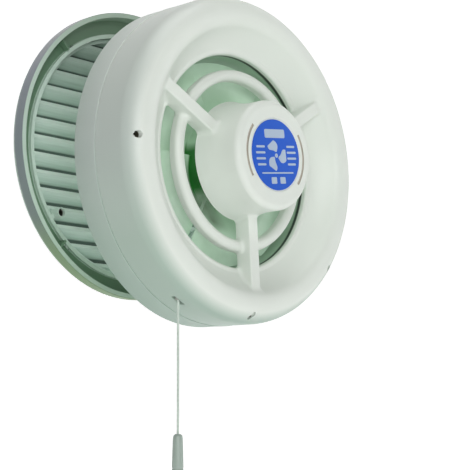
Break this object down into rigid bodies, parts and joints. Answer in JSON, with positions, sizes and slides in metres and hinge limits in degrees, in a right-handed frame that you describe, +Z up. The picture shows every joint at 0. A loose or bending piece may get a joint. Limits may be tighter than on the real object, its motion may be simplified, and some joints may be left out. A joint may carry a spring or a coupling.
{
  "type": "window exhaust fan",
  "caption": "Round window exhaust fan: room-side casing with motor, impeller, guard and pull cord, and a louvred outdoor unit that clamps to it through a hole in the pane.",
  "frame": {"origin": "centre of the hole in the window pane, in the plane where the room-side unit's gasket meets the pane", "axes": "+Y is the fan's axis and the way the air goes, from the room to outdoors; the room side faces -Y; +Z is up; +X is to the right seen from the room"},
  "size_m": [0.2327, 0.1642, 0.356],
  "materials": {
    "casing_plastic": "off-white moulded plastic, satin gloss",
    "outdoor_plastic": "pale green-grey moulded plastic, satin",
    "impeller_plastic": "pale green-grey moulded plastic",
    "handle_plastic": "pale moulded plastic, glossy",
    "natural_plastic": "unpigmented moulded plastic",
    "black_plastic": "black moulded plastic",
    "badge_blue": "blue printed disc with a thin white rim",
    "foam_rubber": "dark closed-cell foam ring",
    "black_rubber": "black rubber",
    "cord_fabric": "pale braided cord",
    "steel": "zinc-plated steel",
    "brass": "plain brass",
    "bronze": "sintered bronze",
    "winding_copper": "enamelled copper wire",
    "lamination_iron": "stacked iron laminations",
    "rotor_metal": "cast rotor"
  },
  "bodies": {
    "indoor_unit": {"front_cover": "casing_plastic", "badge": "badge_blue", "rear_housing": "casing_plastic", "pane_gasket": "foam_rubber", "cover_screws": "steel", "motor_stator": "lamination_iron", "motor_winding": "winding_copper", "motor_endplate": "steel", "motor_screws": "steel", "front_bearing": "bronze", "rear_bearing": "bronze", "switch_case": "black_plastic", "switch_contacts": "brass", "switch_spring": "steel", "switch_screws": "steel", "cord_bush": "natural_plastic", "cable_grommet": "black_rubber", "cable_clamp": "natural_plastic", "clamp_screws": "steel", "terminal_block": "natural_plastic", "terminal_screws": "brass"},
    "rotor": {"motor_rotor": "rotor_metal", "rotor_shaft": "steel", "impeller": "impeller_plastic", "impeller_nut": "bronze"},
    "pull": {"switch_slider": "natural_plastic", "pull_cord": "cord_fabric", "cord_handle": "handle_plastic"},
    "tie_set": {"tie_screws": "steel"},
    "outdoor_unit": {"outdoor_casing": "outdoor_plastic", "louvre_grille": "outdoor_plastic", "tie_nuts": "brass"}
  },
  "joints": [
    {"name": "impeller_spin", "type": "hinge", "parent": "indoor_unit", "child": "rotor", "pos_m": [0, -0.02, 0], "axis": [0, 1, 0], "continuous": true},
    {"name": "cord_pull", "type": "slide", "parent": "indoor_unit", "child": "pull", "axis": [0, 0, -1], "range_m": [0, 0.005], "stiffness_N_per_m": 800, "springref_m": -0.002, "deforming": ["switch_spring"]},
    {"name": "tie_drive", "type": "slide", "parent": "indoor_unit", "child": "tie_set", "axis": [0, 1, 0], "range_m": [0, 0.011]},
    {"name": "outdoor_slide", "type": "slide", "parent": "indoor_unit", "child": "outdoor_unit", "axis": [0, -0.9573, -0.2891], "range_m": [0, 0.06226]}
  ]
}
